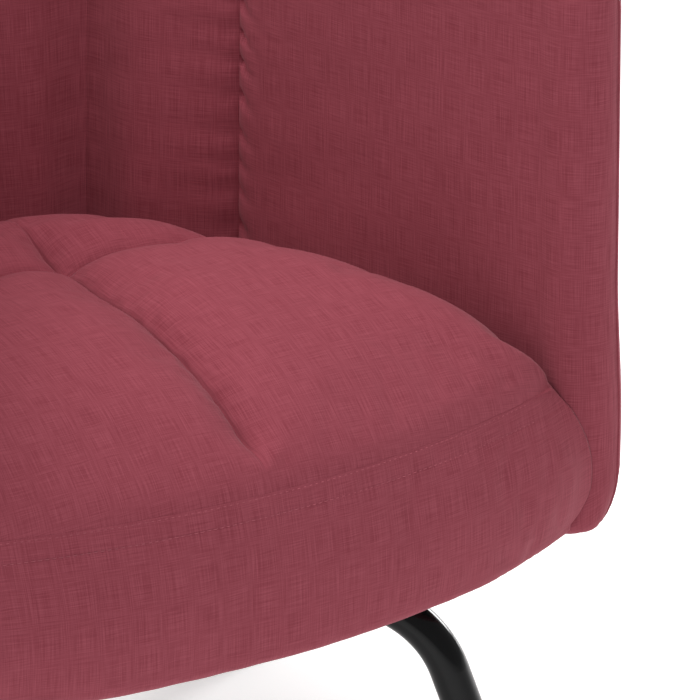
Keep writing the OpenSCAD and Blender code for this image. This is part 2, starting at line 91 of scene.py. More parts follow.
# Which way and how far each place of INNER leans, for a metre of lean height
LEAN = np.array([[0.012, 0.052], [0.068, 0.087], [0.118, 0.158], [0.0, 0.2]])
# Length of the inner face from the nose to s = 1, 2 and 3
RUN = np.array([0.0, 0.303, 0.427, 0.514])
# Angle round the rim at which the pads' edge meets the outer cover: past the top, outside
SEAM_ANGLE = 125
# Length of cloth that the rim takes up, for each unit of side
RIM_CLOTH = 0.03
# Where the outer cover's panels are sewn together
OUTER_SEAMS = (1.75, 4.25)
# Gap between the gathers that the stitches pull into a sewn edge
PUCKER_GAP = 0.0265
# Thickness of cloth and wadding on the pads, of the cover, and of the cloth alone
PAD_T = 0.010
COVER_T = 0.008
CLOTH_T = 0.0006

# The seat, from the same axis: the upper stitch line, and the lower one STITCH_GAP below
STITCH_Z = 0.414
STITCH_GAP = 0.0148
# Bow of the seat's front edge, which is at FRONT_Y in the middle
FRONT_Y = -0.242
FRONT_BOW = 0.70
BORDER_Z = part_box("seat_border")[0].z
BORDER_BACK = -0.2035
BORDER_BULGE = 0.0125
BORDER_HEM_R = 0.013
BORDER_WIDEST_Z = 0.342
# Half the width at which the border's ends have turned back and risen by BORDER_RISE
BORDER_END_X = 0.269
BORDER_RISE = 0.007
DECK_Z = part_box("seat_cushion")[0].z
SEAT_CREST = 0.481
CUSHION_BACK = 0.218
# Gap between cushion and arms, and what is added to it towards the front
CUSHION_GAP = 0.0025
CUSHION_FRONT_GAP = 0.0035
# The cross groove between the front and rear tufts, and the depth of both grooves
GROOVE_Y = 0.084
GROOVE_DEPTH = 0.025


def smooth_step(t):
    """0 up to t = 0 and 1 from t = 1, with a smooth rise between."""
    t = np.clip(t, 0, 1)
    return t * t * (3 - 2 * t)


def straight_at(points, u):
    """Points on the straight stretches through a list, at places u counted in points."""
    i = np.clip(np.floor(u).astype(int), 0, len(points) - 2)
    t = (u - i)[..., None]
    return points[i] * (1 - t) + points[i + 1] * t


def smooth_at(points, u, before, after):
    """Points on the smooth curve through a list, as the frame's outer cover has it."""
    padded = np.vstack([before, points, after])
    i = np.clip(np.floor(u).astype(int), 0, len(points) - 2)
    t = (u - i)[..., None]
    p0, p1, p2, p3 = (padded[i + k] for k in range(4))
    return 0.5 * (
        2 * p1 + (p2 - p0) * t + (2 * p0 - 5 * p1 + 4 * p2 - p3) * t**2
        + (3 * p1 - p0 - 3 * p2 + p3) * t**3
    )


def wall_top(s):
    """Height of the wall's top edge, without the rounded corner over each nose."""
    half = np.where(s > 3, 6 - s, s)
    return ARM_TOP + (BACK_TOP - ARM_TOP) * smooth_step(half / TOP_END)


def lean_height(z):
    """Height that counts for the wall's lean: about 0 below LEAN_Z, rising evenly above."""
    d = z - LEAN_Z
    return (d + np.sqrt(d**2 + LEAN_SOFT**2) - LEAN_SOFT) / 2 * LEAN_SCALE


def wall_point(s, z, side, forward=0.0, share=1.0, puff=0.0):
    """A point of the wall: side -1 is its inner face and 1 its outer face, forward moves the
    nose ahead, share narrows the wall, and puff lifts the point off its face."""
    s, z, side = np.broadcast_arrays(np.asarray(s, float), z, side)
    mirrored = s > 3
    half = np.where(mirrored, 6 - s, s)
    inside = straight_at(INNER, half)
    outside = smooth_at(OUTER, 2 * half, 2 * OUTER[0] - OUTER[1], OUTER[-2] * [-1, 1])
    across = (outside - inside) / 2
    unit = across / np.linalg.norm(across, axis=-1, keepdims=True)
    plan = (inside + outside) / 2 + across * (side * share)[..., None]
    plan = plan + unit * (np.sign(side) * puff)[..., None]
    plan = plan + straight_at(LEAN, half) * lean_height(z)[..., None]
    # the arm is fullest low down at its nose, and slimmer on the outside from there up
    slim = ARM_SLIM * (side + 1) * smooth_step((z - SLIM_Z) / SLIM_RISE) * np.exp(-4 * half)
    plan = plan - unit * slim[..., None]
    x = np.where(mirrored, -plan[..., 0], plan[..., 0])
    # the hem of the arm rises from its inner side to its outer side
    low = smooth_step((WALL_LOW + HEM_FADE - z) / HEM_FADE)
    tilt = HEM_TILT * side * share**2 * low * np.exp(-1.5 * half)
    return np.stack([x, plan[..., 1] - forward + HUB_Y, z + tilt], axis=-1)


def edge_stations(flat_side, end_deg, steps):
    """Stations from the wall's inner or outer face, side -1 or 1, over the rim to an angle
    on it: pairs of distance in from the edge and side."""
    start_deg = 0 if flat_side < 0 else 180
    band = []
    for k in range(steps + 1):
        a = math.radians(start_deg + (end_deg - start_deg) * k / steps)
        band.append((RIM_R * (1 - math.sin(a)), -math.cos(a)))
    return [(CORNER_R + (RIM_R - CORNER_R) * k / 4, flat_side) for k in range(4)] + band


def rim_fade(side, flat_side):
    """1 on a face and 0 at the seam on the rim, where the pads meet the outer cover."""
    seam = -math.cos(math.radians(SEAM_ANGLE))
    if flat_side < 0:
        return smooth_step((seam - side) / 0.9)
    return smooth_step((side - seam) / (1 - seam))


def hem_rows(count, top):
    """Heights, shares and pull-backs from under the hem up to a height, one row each. The
    first two lie flat under the wall."""
    rows = [(WALL_LOW, 0.10, 1.0), (WALL_LOW, 0.30, 1.0)]
    for a in (90, 75, 60, 45, 30, 15):
        c, z = math.cos(math.radians(a)), WALL_LOW + HEM_R * (1 - math.sin(math.radians(a)))
        rows.append((z, HEM_SHARE + (1 - HEM_SHARE) * c, 1 - c))
    return rows + [(HEM_TOP + (top - HEM_TOP) * k / count, 1.0, 0.0) for k in range(count + 1)]


def fit_height(z, rows, top):
    """A row's height, stretched so that the last row is where the rim's rounding begins."""
    if z <= HEM_TOP:
        return z
    return HEM_TOP + (z - HEM_TOP) * (top - CORNER_R - HEM_TOP) / (rows[-1][0] - HEM_TOP)


def face_lift(puff, side, share, flat_side):
    """Stand-off of a face, halved under the hem and gone where it meets its neighbour."""
    return puff * np.abs(side) * np.where(share < 0.9, 0.5, 1) * rim_fade(side, flat_side)


def new_mesh(name, points, faces, uv):
    """A mesh object from points, faces and one UV pair for each point, in metres."""
    mesh = bpy.data.meshes.new(name)
    mesh.from_pydata([tuple(p) for p in points], [], faces)
    layer = mesh.uv_layers.new(name="cloth")
    loops = np.zeros(len(mesh.loops), int)
    mesh.loops.foreach_get("vertex_index", loops)
    layer.data.foreach_set("uv", np.asarray(uv, np.float32)[loops].ravel())
    obj = bpy.data.objects.new(name, mesh)
    bpy.context.scene.collection.objects.link(obj)
    return obj


def grid_faces(rows, cols, offset=0):
    """Faces between the points of a grid, counted row by row."""
    corners = [offset + j * cols + i for j in range(rows - 1) for i in range(cols - 1)]
    return [(a, a + 1, a + cols + 1, a + cols) for a in corners]


def grid_outline(rows, cols):
    """The points round a grid, counted row by row."""
    last = (rows - 1) * cols
    there = list(range(cols)) + [j * cols + cols - 1 for j in range(1, rows)]
    back = [last + i for i in range(cols - 2, -1, -1)] + [j * cols for j in range(rows - 2, 0, -1)]
    return there + back


def tube_faces(rings, sides, offset=0):
    """Faces of a tube of rings, with its two ends closed."""
    faces = []
    for k in range(rings - 1):
        for i in range(sides):
            a, b = offset + k * sides + i, offset + k * sides + (i + 1) % sides
            faces.append((a, b, b + sides, a + sides))
    faces.append(tuple(offset + i for i in range(sides))[::-1])
    faces.append(tuple(offset + (rings - 1) * sides + i for i in range(sides)))
    return faces


def clean(obj, gap=0.0004):
    """Welds points that lie on each other, and makes the faces smooth and facing out."""
    bm = bmesh.new()
    bm.from_mesh(obj.data)
    bmesh.ops.remove_doubles(bm, verts=bm.verts, dist=gap)
    bmesh.ops.dissolve_degenerate(bm, dist=1e-5, edges=bm.edges)
    bmesh.ops.recalc_face_normals(bm, faces=bm.faces)
    for face in bm.faces:
        face.smooth = True
    bm.to_mesh(obj.data)
    bm.free()
    return obj


def apply_modifiers(obj):
    """Replaces the object's mesh by its mesh with all modifiers."""
    graph = bpy.context.evaluated_depsgraph_get()
    mesh = bpy.data.meshes.new_from_object(obj.evaluated_get(graph))
    obj.modifiers.clear()
    obj.data = mesh


def points_of(mesh):
    points = np.zeros(len(mesh.vertices) * 3)
    mesh.vertices.foreach_get("co", points)
    return points.reshape(-1, 3)


def stuff(obj, held, swell, cap, slack, steps=14):
    """Fills a piece by cloth simulation: held is 1 where the cloth is sewn down and 0 where
    it is free, swell is the pressure, no point moves further than cap, and slack is how
    much larger the cloth is cut. The result is applied."""
    scene = bpy.context.scene
    mesh = obj.data
    rest = points_of(mesh)
    group = obj.vertex_groups.new(name="held")
    levels = np.round(held, 2)
    for level in np.unique(levels):
        group.add(np.nonzero(levels == level)[0].tolist(), float(level), "REPLACE")
    cloth = obj.modifiers.new("cloth", "CLOTH")
    cloth.settings.quality = 4
    cloth.settings.mass = 0.25
    cloth.settings.tension_stiffness = 30
    cloth.settings.compression_stiffness = 30
    cloth.settings.shear_stiffness = 8
    cloth.settings.bending_stiffness = 0.35
    cloth.settings.use_pressure = True
    cloth.settings.uniform_pressure_force = swell
    cloth.settings.vertex_group_mass = "held"
    cloth.settings.pin_stiffness = 1.0
    cloth.settings.shrink_min = -slack
    cloth.settings.effector_weights.gravity = 0
    cloth.collision_settings.use_collision = False
    cloth.point_cache.frame_start = 1
    cloth.point_cache.frame_end = steps
    for frame_number in range(1, steps + 1):
        scene.frame_set(frame_number)
    graph = bpy.context.evaluated_depsgraph_get()
    shift = points_of(obj.evaluated_get(graph).data) - rest
    length = np.linalg.norm(shift, axis=1, keepdims=True)
    shift = shift * (cap * np.tanh(length / cap) / np.maximum(length, 1e-9)) * (1 - held[:, None])
    obj.modifiers.clear()
    obj.vertex_groups.clear()
    scene.frame_set(1)
    mesh.vertices.foreach_set("co", (rest + shift).ravel())
    mesh.update()


def held_near(distance, reach):
    """Hold that is full on a sewn line and gone at reach."""
    return 1 - smooth_step(np.abs(distance) / reach)


def waves(seed, points, scale):
    """A smooth, repeatable noise from -1 to 1, made of a few crossed sines."""
    rng = np.random.default_rng(seed)
    count, total = 7, 0
    for _ in range(count):
        direction = rng.normal(size=points.shape[-1])
        direction /= np.linalg.norm(direction)
        turns = points @ direction * 2 * math.pi / (scale * rng.uniform(0.7, 1.7))
        total = total + np.sin(turns + rng.uniform(0, 2 * math.pi))
    return total / count * 1.6


def pillow(distance, reach):
    """1 at a sewn line and 0 from reach onwards, round as a stuffed edge is."""
    q = np.clip(1 - np.abs(distance) / reach, 0, 1)
    return 1 - np.sqrt(1 - q**2)


def gathers(distance, z, depth, ripple, seed):
    """The gathers beside an upright seam: a slanting dent at each stitch, and the ripples
    of the cloth that run out from them."""
    slanted = z + 0.55 * distance
    phase = slanted / PUCKER_GAP + 0.13 * np.sin(slanted * 61 + seed) + 0.1 * np.sin(slanted * 23)
    strength = 0.8 + 0.35 * np.sin(slanted * 31 + 2 * seed)
    dent = (0.5 + 0.5 * np.cos(2 * math.pi * phase)) ** 5
    beside = distance / 0.0042 * np.exp(1 - distance / 0.0042)
    wave = np.cos(2 * math.pi * (z / PUCKER_GAP + 0.13 * np.sin(z * 61 + seed)) + math.pi)
    spread_out = np.exp(-distance / 0.026) * (1 - np.exp(-distance / 0.006))
    return -depth * strength * dent * beside + ripple * wave * spread_out


def wall_run(s):
    """Length along the inner face at s, measured from the right nose."""
    half = np.where(s > 3, 6 - s, s)
    along = np.interp(half, [0, 1, 2, 3], RUN) + np.where(half < 0, half * RUN[1], 0)
    return np.where(s > 3, 2 * RUN[-1] - along, along)


def seam_distance(s, place):
    """Distance along the inner face from the seam at a place."""
    return np.abs(wall_run(s) - wall_run(np.array(float(place))))


def panel_puff(s, z, edges, crown, seed):
    """Stand-off of a pad's face. Each edge is a sewn one: its place, the depth of its fold,
    the depth and reach of the valley round it, the depth of its gathers and the height of
    its ripples. At the seam itself, two neighbouring pads come out the same."""
    points = np.stack(np.broadcast_arrays(wall_run(s), z), axis=-1)
    rise, free = 1, 1
    for edge in edges:
        distance = seam_distance(s, edge[0])
        rise = rise * (1 - np.exp(-distance / 0.05))
        free = free * (1 - np.exp(-distance / 0.015))
    uneven = 0.0014 * waves(seed, points, 0.17) + 0.0004 * waves(seed + 1, points, 0.05)
    puff = crown * rise + uneven * free
    for place, fold, depth, reach, dent, ripple in edges:
        distance = seam_distance(s, place)
        puff = puff - fold * np.exp(-distance / 0.0045) - depth * np.exp(-(distance / reach) ** 2)
        puff = puff + gathers(distance, z, dent, ripple, place)
    return puff


def cloth_length(s, z):
    """UV of a wall point: its run along the wall and its height."""
    along, z = np.broadcast_arrays(wall_run(np.asarray(s, float)), z)
    return np.stack([along, z], axis=-1)


def column_grid(s_list, stations, rows, puff):
    """The face of the wall over upright columns, from under its hem to past its rim."""
    flat_side = stations[0][1]
    points, uv = [], []
    for place in s_list:
        top = float(wall_top(np.array(place)))
        column = [(fit_height(z, rows, top), flat_side, share) for z, share, _ in rows]
        column += [(top - rho, side, 1.0) for rho, side in stations[1:]]
        z, side, share = np.array(column).T
        s = np.full_like(z, place)
        lift = face_lift(puff(s, z), side, share, flat_side)
        points.append(wall_point(s, z, side, 0.0, share, lift))
        length = cloth_length(s, z)
        length[:, 1] += np.abs(side - flat_side) * RIM_CLOTH
        uv.append(length)
    points, uv = np.array(points), np.array(uv)
    return points.reshape(-1, 3), uv.reshape(-1, 2), points.shape[0], points.shape[1]


def nose_place(x, pull):
    """s and forward of a place at a distance x from the tip of the nose, pulled back under
    the hem."""
    forward = np.maximum(0, ARM_T / 2 - x) * (1 - pull / (ARM_T / 2) * 0.25)
    return np.maximum(0, (x - ARM_T / 2) / ARM_RUN), forward


def nose_grid(stations, rows, puff):
    """The face of the wall round the arm's nose and its top corner, on the right side. The
    places are laid out by their distance x from the tip of the nose."""
    top = float(wall_top(np.array(FIRST_COLUMN)))
    flat_side = stations[0][1]
    places = []
    for z, share, pull in rows:
        z = fit_height(z, rows, top)
        places.append([(rho, z, side, share, pull * HEM_R) for rho, side in stations])
    for k in range(1, 13):
        a = math.pi / 2 * k / 12
        places.append([
            (CORNER_R - (CORNER_R - rho) * math.cos(a),
             top - CORNER_R + (CORNER_R - rho) * math.sin(a), side, 1.0, 0.0)
            for rho, side in stations])
    places = np.array(places)
    x, z, side, share, pull = np.moveaxis(places, -1, 0)
    s, forward = nose_place(x, pull)
    points = wall_point(s, z, side, forward, share, face_lift(puff(s, z), side, share, flat_side))
    uv = np.stack([x - ARM_T / 2 - np.abs(side - flat_side) * RIM_CLOTH, z], axis=-1)
    return points.reshape(-1, 3), uv.reshape(-1, 2), places.shape[0], places.shape[1]


def join_grids(name, grids):
    """One mesh of several grids, welded where they meet."""
    points, faces, uv = [], [], []
    for grid_points, grid_uv, rows, cols in grids:
        faces += grid_faces(rows, cols, sum(len(p) for p in points))
        points.append(grid_points)
        uv.append(grid_uv)
    return clean(new_mesh(name, np.vstack(points), faces, np.vstack(uv)))


def mirrored_grid(grid):
    """The same grid on the left arm."""
    points, uv, rows, cols = grid
    return points * [-1, 1, 1], uv * [-1, 1] + [2 * RUN[-1], 0], rows, cols


def graded(start, end, count, *fine):
    """count + 1 places from start to end, closer near some: pairs of place and reach."""
    t = np.linspace(start, end, 2001)
    density = 1 + sum(3.5 * np.exp(-((t - place) / reach) ** 2) for place, reach in fine)
    total = np.concatenate([[0], np.cumsum((density[1:] + density[:-1]) / 2)])
    return np.interp(np.linspace(0, total[-1], count + 1), total, t)


def thicken(obj, thickness):
    """Gives a face of cloth and wadding its thickness, towards the inside of the wall."""
    solid = obj.modifiers.new("thickness", "SOLIDIFY")
    solid.thickness = thickness
    solid.offset = -1
    solid.use_quality_normals = True
    apply_modifiers(obj)
    obj.data.set_sharp_from_angle(angle=math.radians(60))
    return obj


# The wall's pads run from its inner face over the rim to the seam, and the cover from there
# to the outer face.
PAD_STATIONS = edge_stations(-1, SEAM_ANGLE, 12)
COVER_STATIONS = edge_stations(1, SEAM_ANGLE, 7)
# The sewn edges of each kind of pad, as panel_puff has them
ARM_EDGES = [(1, 0.0034, 0.002, 0.014, 0.0052, 0.0003)]
CORNER_EDGES = [
    (1, 0.0034, 0.002, 0.014, 0.0008, 0.0008),
    (2, 0.0018, 0.020, 0.026, 0.0003, 0.0002),
]
BACK_EDGES = [(place, 0.0018, 0.020, 0.026, 0.0004, 0.0003) for place in (2, 4)]


def arm_pad(name, mirror):
    def puff(s, z):
        return panel_puff(s, z, ARM_EDGES, 0.005, 8) * smooth_step(s / 0.3 + 0.25)

    rows = hem_rows(110, ARM_TOP - CORNER_R)
    columns = graded(FIRST_COLUMN, 1, 48, (1, 0.035))
    grids = [column_grid(columns, PAD_STATIONS, rows, puff), nose_grid(PAD_STATIONS, rows, puff)]
    return join_grids(name, [mirrored_grid(g) for g in grids] if mirror else grids)


def corner_pad(name, mirror):
    def puff(s, z):
        return panel_puff(s, z, CORNER_EDGES, 0.007, 14)

    rows = hem_rows(110, ARM_TOP - CORNER_R)
    grid = column_grid(graded(1, 2, 44, (1, 0.06), (2, 0.12)), PAD_STATIONS, rows, puff)
    return join_grids(name, [mirrored_grid(grid) if mirror else grid])


def back_pad(name):
    def puff(s, z):
        return panel_puff(s, z, BACK_EDGES, 0.010, 19)

    rows = hem_rows(120, ARM_TOP - CORNER_R)
    columns = graded(2, 4, 60, (2, 0.12), (4, 0.12))
    return join_grids(name, [column_grid(columns, PAD_STATIONS, rows, puff)])


def outer_cover(name):
    def puff(s, z):
        half = np.minimum(s, 6 - s)
        lift = 0.0015 * waves(11, np.stack(np.broadcast_arrays(s * 0.2, z), -1), 0.2)
        for seam in OUTER_SEAMS:
            lift = lift - 0.004 * pillow((s - seam) * 0.13, 0.006)
        return lift * smooth_step((half - FIRST_COLUMN) / 0.3)

    rows = hem_rows(50, ARM_TOP - CORNER_R)
    fine = [(seam, 0.05) for seam in OUTER_SEAMS]
    columns = graded(FIRST_COLUMN, 6 - FIRST_COLUMN, 150, *fine)
    # a column at every corner of the wall, so that the rim meets the pads' rim
    columns = np.unique(np.concatenate([columns, [1, 2, 3, 4, 5]]))
    wall = column_grid(columns, COVER_STATIONS, rows, puff)
    nose = nose_grid(COVER_STATIONS, rows, puff)
    return join_grids(name, [wall, nose, mirrored_grid(nose)])


def rim_path():
    """Points along the seam where the pads meet the cover: up the right arm's nose, over the
    back and down the left arm's nose."""
    side = -math.cos(math.radians(SEAM_ANGLE))
    rho = RIM_R * (1 - math.sin(math.radians(SEAM_ANGLE)))
    top = float(wall_top(np.array(FIRST_COLUMN)))
    reach = CORNER_R - rho
    # the second row under the hem is the same place as the third
    hem = hem_rows(40, top - CORNER_R)[2:]
    places = [(rho, z, share, pull * HEM_R) for z, share, pull in hem]
    for k in range(1, 16):
        a = math.pi / 2 * k / 16
        x, z = CORNER_R - reach * math.cos(a), top - CORNER_R + reach * math.sin(a)
        places.append((x, z, 1.0, 0.0))
    x, z, share, pull = np.array(places).T
    s, forward = nose_place(x, pull)
    nose = wall_point(s, z, np.full_like(x, side), forward, share)
    s = np.unique(np.concatenate([np.linspace(FIRST_COLUMN, 3, 90), [1, 2]]))
    rise = wall_point(s, wall_top(s) - rho, np.full_like(s, side))
    right = np.vstack([nose, rise])
    return np.vstack([right, right[-2::-1] * [-1, 1, 1]])


def welt_tube(name, path, radius, sides=8, twist=0.06):
    """A closed round tube along a path, with the slight twist of a covered cord."""
    path = np.asarray(path, float)
    tangent = np.gradient(path, axis=0)
    tangent /= np.linalg.norm(tangent, axis=1, keepdims=True)
    up = np.array([0.31, 0.22, 0.92])
    side = np.cross(tangent, up)
    side /= np.linalg.norm(side, axis=1, keepdims=True)
    other = np.cross(side, tangent)
    length = np.concatenate([[0], np.cumsum(np.linalg.norm(np.diff(path, axis=0), axis=1))])
    points, uv = [], []
    for k in range(len(path)):
        for i in range(sides):
            a = 2 * math.pi * i / sides
            wide = radius * (1 + twist * math.sin(length[k] / 0.0018 + a))
            points.append(path[k] + wide * (math.cos(a) * side[k] + math.sin(a) * other[k]))
            uv.append((i * 2 * math.pi * radius / sides, length[k]))
    return clean(new_mesh(name, points, tube_faces(len(path), sides), uv), 1e-6)


def seat_half(y):
    """Half the width between the arms."""
    return np.interp(y, INNER[:, 1], INNER[:, 0])


def cushion_half(y, t):
    """Half the cushion's width, t of the way from its back to its front."""
    return seat_half(y) - CUSHION_GAP - CUSHION_FRONT_GAP * smooth_step((t - 0.7) / 0.3)


def wall_distance(x, y):
    """Distance in from the arms and the back, with rounded inner corners."""
    x = np.abs(x)
    total = 0
    for a, b in zip(INNER[:-1], INNER[1:]):
        run = (b - a) / np.linalg.norm(b - a)
        distance = (a[0] - x) * run[1] - (a[1] - y) * run[0]
        total = total + np.exp(-np.clip(distance, 0, 1) / 0.010)
    return np.clip(-0.010 * np.log(total), 0, 1)


def front_y(x):
    """The seat's bowed front at the stitch line."""
    return FRONT_Y + FRONT_BOW * x**2


def round_over(fall):
    """1 on the crest, rounding down to 0 at the stitch line, which it meets on a slope."""
    end = math.sqrt(1 - 0.99**2.2)
    return (np.sqrt(1 - (0.99 * np.clip(fall, 0, 1)) ** 2.2) - end) / (1 - end)


def seat_top(x, y):
    """Height of the tufted top over a point of the seat's plan."""
    # how far the top has come from its crest to the front, and to the arms and the back
    front = np.clip((-0.035 - y) / (-0.035 - front_y(x)), 0, 1)
    edge = np.clip(1 - wall_distance(x, y) / 0.090, 0, 1)
    edge = edge * (1 - 0.3 * smooth_step((-0.160 - y) / 0.03))
    rise = round_over((front**4 + edge**4) ** 0.25)
    rear = smooth_step((y - GROOVE_Y) / 0.03)
    crest = SEAT_CREST + 0.005 * smooth_step((0.04 - y) / 0.09) - 0.003 * rear
    z = STITCH_Z + (crest - STITCH_Z) * rise
    # the long groove fades out at the front edge and behind the cross groove
    fade = smooth_step((y + 0.238) / 0.042) * (1 - 0.85 * smooth_step((y - 0.10) / 0.07))
    groove = pillow(x, 0.055) * fade
    cross = pillow(y - GROOVE_Y, 0.050)
    z = z - GROOVE_DEPTH * (groove + cross - groove * cross)
    # the pinch where the grooves cross, and the cloth dragged towards the long groove
    z = z - 0.004 * np.exp(-(x**2 + (y - GROOVE_Y) ** 2) / 0.016**2)
    drag = np.sin(y / 0.0030 + 3.0 * np.sin(y * 31)) * np.exp(-np.abs(x) / 0.012) * fade
    points = np.stack(np.broadcast_arrays(x, y), axis=-1)
    uneven = 0.0012 * waves(21, points, 0.13) + 0.0003 * waves(22, points, 0.035)
    return z + 0.0003 * drag + uneven * rise


def stitched(distance):
    """Sink of the cloth at a line of stitches, with the small rise beside it."""
    sink = 0.0004 * np.exp(-(distance / 0.0009) ** 2)
    return sink - 0.0002 * np.exp(-((distance - 0.0024) / 0.0016) ** 2)


def cushion_form(name):
    """The seat's tufted top, sewn to the border at the stitch line, closed underneath."""
    u = graded(-1, 1, 150, (0, 0.05), (-1, 0.05), (1, 0.05))
    front = front_y(0.0)
    rows = []
    for y_mid in graded(CUSHION_BACK, front, 124, (GROOVE_Y, 0.012), (front, 0.012)):
        t = (CUSHION_BACK - y_mid) / (CUSHION_BACK - front)
        half = cushion_half(y_mid, t)
        # the row is bowed, so its ends settle where the arms are as far apart as it is wide
        for _ in range(30):
            x = u * half
            y_back = CUSHION_BACK - 0.25 * np.abs(x) ** 1.5
            y = y_back * (1 - t) + front_y(x) * t
            half = np.minimum(half, half * 0.5 + 0.5 * cushion_half(y[-1], t))
        turned = smooth_step((t - 0.994) / 0.006)
        z = seat_top(x, y) - 0.0004 * turned
        y = y + 0.0004 * turned
        rows.append(np.stack([x, y, z], axis=-1))
    top = np.array(rows)
    faces = grid_faces(*top.shape[:2])
    ring = grid_outline(*top.shape[:2])
    points = [top.reshape(-1, 3)]
    edge = points[0][ring]
    for share in (0.5, 1.0):
        inset = edge * [1 - 0.004 * share, 1 - 0.006 * share, 1]
        inset[:, 2] = edge[:, 2] + (DECK_Z - edge[:, 2]) * share
        start = sum(len(p) for p in points)
        points.append(inset)
        fresh = list(range(start, start + len(edge)))
        for k in range(len(edge)):
            n = (k + 1) % len(edge)
            faces.append((ring[k], fresh[k], fresh[n], ring[n]))
        ring = fresh
    faces.append(tuple(ring))
    points = np.vstack(points)
    points[:, 1] += HUB_Y
    uv = points[:, :2].copy()
    # the cloth runs over the front edge, so its length counts the fall as well
    fall = np.clip(SEAT_CREST - points[:, 2], 0, 0.08)
    uv[:, 1] -= fall * np.clip((-0.12 - points[:, 1]) / 0.1, 0, 1)
    return clean(new_mesh(name, points, faces, uv), 1e-5)


def border_half(z):
    """Half the border's width at a height: it bulges past the arms' noses in front of them."""
    above = np.clip((z - BORDER_WIDEST_Z) / 0.087, 0, 1)
    below = np.clip((BORDER_WIDEST_Z - z) / 0.044, 0, 1.4)
    return 0.291 - 0.040 * above**2 - 0.018 * below**2.2


def border_face(x, z):
    """The border's front face, without its rounded ends."""
    down = max(0.0, (STITCH_Z - z) / (STITCH_Z - BORDER_Z))
    bulge = BORDER_BULGE * math.sin(math.pi / 2 * min(1, down / 0.45)) - 0.001 * down
    blend = smooth_step(down * 1.8)
    bow = FRONT_BOW * x**2 * (1 - blend) + 0.040 * (np.abs(x) / BORDER_END_X) ** 2.6 * blend
    return FRONT_Y - bulge + bow


def low_share(z):
    """1 at the border's hem and 0 from half its height upwards."""
    return smooth_step((0.335 - z) / 0.05)


def border_form(name):
    """The seat's front border: a stuffed bolster between the stitch line and the hem."""
    u = graded(-1, 1, 150, (-1, 0.05), (1, 0.05))
    levels = [STITCH_Z + 0.0003]
    levels += list(graded(STITCH_Z - 0.0006, BORDER_Z + BORDER_HEM_R, 46,
                          (STITCH_Z, 0.004), (STITCH_Z - STITCH_GAP, 0.004)))
    rows = []
    for z in levels:
        x = u * float(border_half(z))
        y = border_face(x, z)
        points = np.stack([x, np.full_like(x, z)], -1)
        free = float(smooth_step((STITCH_Z - z) / 0.03))
        y = y + (0.0010 * waves(31, points, 0.10) + 0.0003 * waves(32, points, 0.03)) * free
        y = y + stitched(STITCH_Z - STITCH_GAP - z)
        y = y + 0.0005 * math.exp(-((STITCH_Z - z) / 0.0012) ** 2)
        rows.append((x, y, np.full_like(x, z)))
    low_x, low_y, low_z = rows[-1]
    for a in (12, 24, 36, 48, 60, 72, 84, 94):
        turn = math.radians(a)
        rows.append((low_x * (1 - 0.02 * (1 - math.cos(turn))),
                     low_y + BORDER_HEM_R * (1 - math.cos(turn)),
                     low_z - BORDER_HEM_R * math.sin(turn)))
    shell = []
    for x, y, z in rows:
        # the hem rises and draws back towards the ends
        rise = BORDER_RISE * (x / BORDER_END_X) ** 2 * low_share(z)
        y, z = y + rise, z + rise
        back = BORDER_BACK + 0.020 * smooth_step((z - 0.380) / 0.034)
        half = np.abs(x).max()
        end = np.clip((np.abs(x) - half + 0.030) / 0.030, 0, 1)
        y = y + np.maximum(back - y, 0.001) * (1 - np.sqrt(np.clip(1 - end**2, 0, 1)))
        shell.append(np.stack([x, y, z], axis=-1))
    first, last = shell[0].copy(), shell[-1].copy()
    first[:, 1] = BORDER_BACK + 0.020
    last[:, 1] = np.maximum(last[:, 1], BORDER_BACK)
    last[:, 2] += 0.0005
    shell = np.array([first] + shell + [last])
    faces = grid_faces(*shell.shape[:2]) + [tuple(grid_outline(*shell.shape[:2]))]
    shell[..., 1] += HUB_Y
    steps = np.linalg.norm(np.diff(shell[:, len(u) // 2], axis=0), axis=-1)
    v = np.concatenate([[0], np.cumsum(steps)])
    uv = np.stack([shell[..., 0], np.broadcast_to(-v[:, None], shell.shape[:2])], axis=-1)
    return clean(new_mesh(name, shell.reshape(-1, 3), faces, uv.reshape(-1, 2)), 1e-5)


def rail_wrap(name, off=0.0009, rise=0.045):
    """The border's cloth carried on round the front board: down its face, under it and over
    its ends, as it is stapled to the wood."""
    low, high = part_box("front_rail")
    front, rear, under = low.y - off, high.y - 0.001, low.z - off
    wide = high.x + off
    x = np.linspace(-wide, wide, 61)
    arc = np.radians(np.linspace(0, 90, 6))
    bend = 0.003
    profile = [(front, low.z + rise), (front, low.z + rise / 2)]
    profile += [(front + bend * (1 - math.cos(a)), under + bend * (1 - math.sin(a))) for a in arc]
    profile += [((front + rear) / 2, under), (rear, under)]
    points = [(px, y, z) for y, z in profile for px in x]
    faces = grid_faces(len(profile), len(x))
    top_rear = len(points)
    points += [(-wide, rear, low.z + rise), (wide, rear, low.z + rise)]
    for column, corner, flip in ((0, top_rear, False), (len(x) - 1, top_rear + 1, True)):
        ring = [row * len(x) + column for row in range(len(profile))] + [corner]
        faces.append(tuple(ring[::-1] if flip else ring))
    uv = [(px, y + z) for px, y, z in points]
    return clean(new_mesh(name, points, faces, uv), 1e-6)


